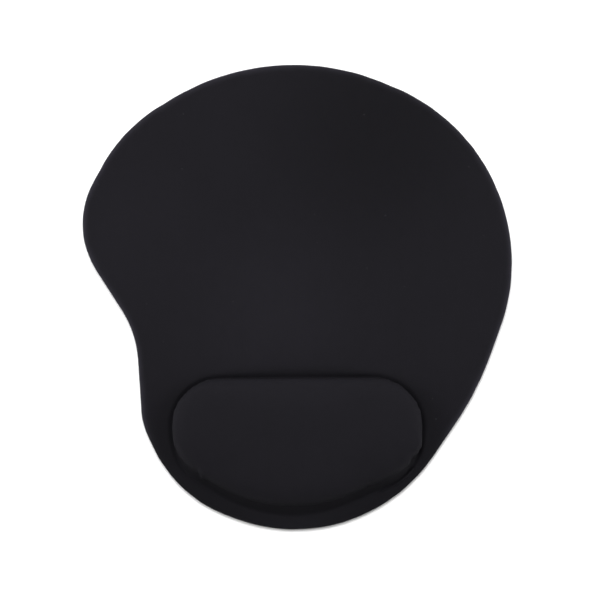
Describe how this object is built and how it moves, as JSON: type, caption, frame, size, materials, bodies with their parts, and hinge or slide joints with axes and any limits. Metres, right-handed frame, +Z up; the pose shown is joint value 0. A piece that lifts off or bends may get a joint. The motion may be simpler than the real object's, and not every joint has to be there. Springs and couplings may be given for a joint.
{
  "type": "wrist rest",
  "caption": "Mouse pad with a thumb scoop and a raised gel wrist cushion under one stretch-fabric cover, on a non-slip rubber base.",
  "frame": {"origin": "on the desk, under the middle of the pad's outline", "axes": "+X to the user's right, +Y away from the user towards the far end of the pad, +Z up"},
  "size_m": [0.231, 0.25, 0.02],
  "materials": {
    "knit_fabric": "black warp-knit nylon and elastane, matt with a faint sheen along the ribs",
    "base_rubber": "matt black natural rubber with a fine moulded tread",
    "pad_foam": "dark grey closed-cell foam",
    "riser_foam": "mid grey firm polyurethane foam",
    "glue_film": "pale double-sided tissue tape",
    "web_glue": "thin hot-melt web",
    "pouch_film": "clear polyurethane film",
    "gel": "soft translucent polyurethane gel"
  },
  "bodies": {
    "root": {"non_slip_base": "base_rubber", "base_adhesive": "glue_film", "pad_foam": "pad_foam", "cover_adhesive": "web_glue", "fabric_cover": "knit_fabric", "wrist_adhesive": "glue_film", "wrist_riser": "riser_foam", "gel_pouch_base": "pouch_film", "gel_cushion": "gel", "gel_pouch_top": "pouch_film"}
  },
  "joints": []
}
